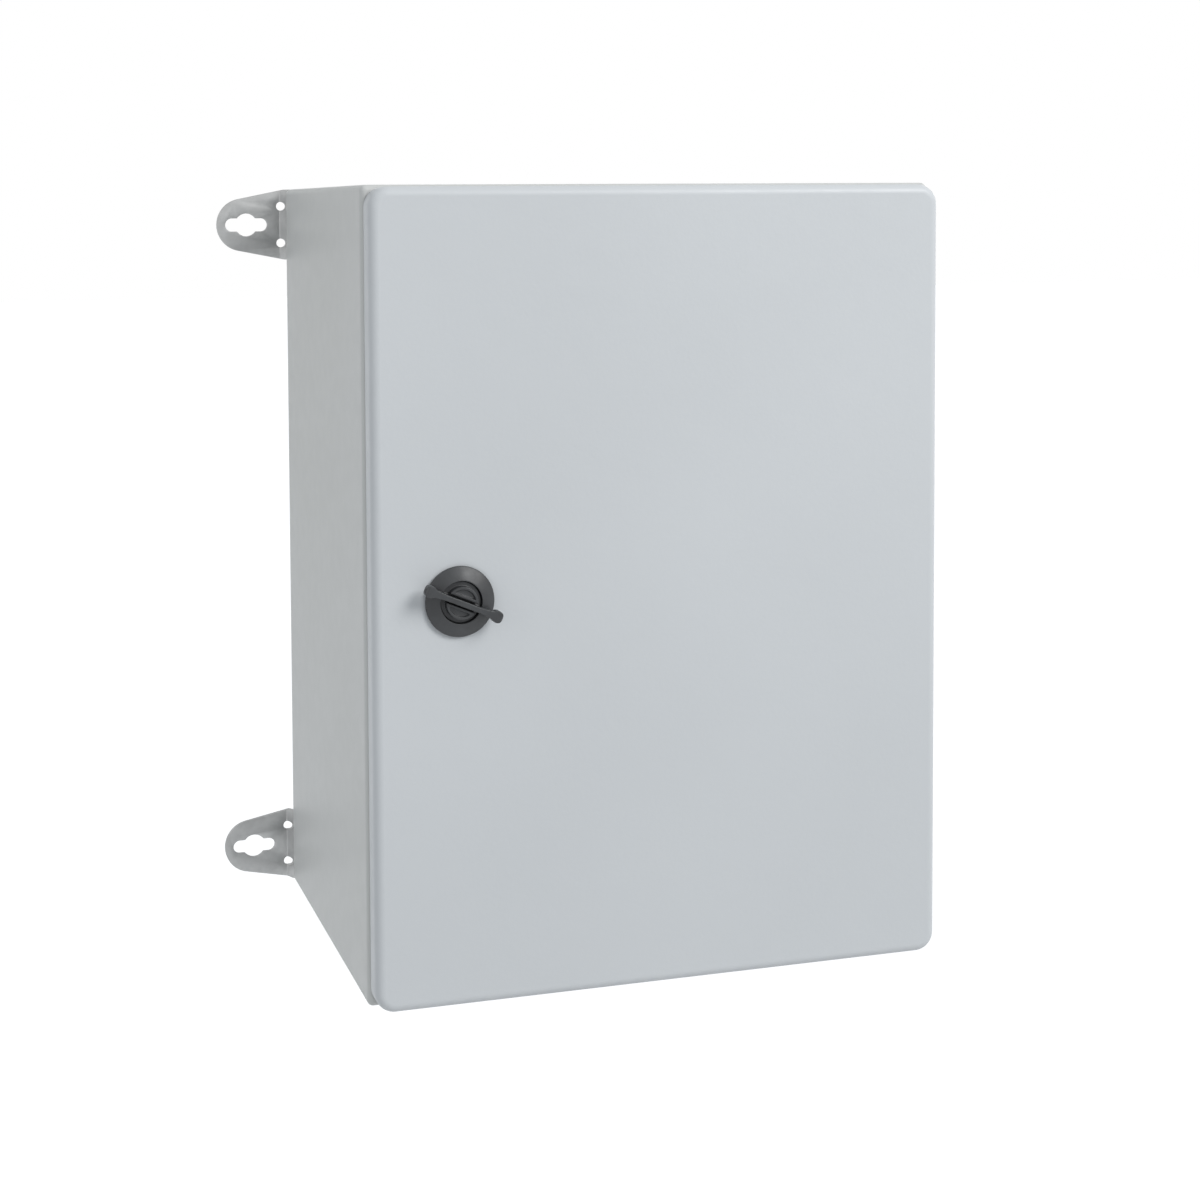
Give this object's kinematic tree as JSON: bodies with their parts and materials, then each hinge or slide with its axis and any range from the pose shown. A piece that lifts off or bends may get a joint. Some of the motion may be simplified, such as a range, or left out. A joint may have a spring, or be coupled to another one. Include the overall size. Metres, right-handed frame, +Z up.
{
  "type": "steel wall enclosure",
  "caption": "Sheet-steel wall box with a hinged door on a foamed seal, wing-knob quarter-turn lock, cranked wall lugs, mounting plate and gland plate.",
  "frame": {"origin": "middle of the four wall slots, on the wall plane", "axes": "+X right seen from the front, +Y into the wall, +Z up; the door faces -Y"},
  "size_m": [0.3768, 0.2293, 0.4],
  "materials": {
    "door_coat": "light grey powder coat, fine texture",
    "body_coat": "light grey powder coat, fine texture",
    "lug_steel": "dull zinc plate",
    "zinc_fasteners": "bright zinc plate",
    "hinge_zinc": "plated steel, satin",
    "galvanised_plate": "galvanised, faint spangle",
    "dark_die_cast": "dark grey coated die-cast, satin",
    "foam_seal": "foamed polyurethane, matte skin",
    "black_rubber": "matte"
  },
  "bodies": {
    "enclosure": {"body_shell": "body_coat", "rear_panel": "body_coat", "front_frame": "body_coat", "gland_plate": "body_coat", "wall_lug_top_left": "lug_steel", "wall_lug_top_right": "lug_steel", "wall_lug_bottom_left": "lug_steel", "wall_lug_bottom_right": "lug_steel", "lug_bolts": "zinc_fasteners", "lug_nuts": "zinc_fasteners", "hinge_block_screws": "zinc_fasteners", "hinge_block_nuts": "zinc_fasteners", "plate_studs": "zinc_fasteners", "plate_washers": "zinc_fasteners", "plate_nuts": "zinc_fasteners", "gland_studs": "zinc_fasteners", "gland_nuts": "zinc_fasteners", "body_earth_stud": "zinc_fasteners", "body_earth_nut": "zinc_fasteners", "hinge_pin_top": "zinc_fasteners", "hinge_pin_bottom": "zinc_fasteners", "hinge_block_top": "hinge_zinc", "hinge_block_bottom": "hinge_zinc", "mounting_plate": "galvanised_plate", "gland_seal": "black_rubber", "lug_sealing_washers": "black_rubber"},
    "door": {"door_panel": "door_coat", "door_gasket": "foam_seal", "hinge_leaf_top": "hinge_zinc", "hinge_leaf_bottom": "hinge_zinc", "hinge_leaf_studs": "zinc_fasteners", "hinge_leaf_nuts": "zinc_fasteners", "lock_housing": "dark_die_cast", "lock_seal": "black_rubber", "lock_ring_nut": "zinc_fasteners", "lock_o_ring": "black_rubber", "door_earth_stud": "zinc_fasteners", "door_earth_nut": "zinc_fasteners"},
    "lock_rotor": {"wing_knob": "dark_die_cast", "lock_tongue": "galvanised_plate", "tongue_washer": "zinc_fasteners", "tongue_screw": "zinc_fasteners"}
  },
  "joints": [
    {"name": "door_hinge", "type": "hinge", "parent": "enclosure", "child": "door", "pos_m": [0.1454, -0.2115, 0], "axis": [0, 0, 1], "range_deg": [0, 130]},
    {"name": "lock_turn", "type": "hinge", "parent": "door", "child": "lock_rotor", "pos_m": [-0.1065, -0.2185, 0], "axis": [0, 1, 0], "range_deg": [0, 90]}
  ]
}
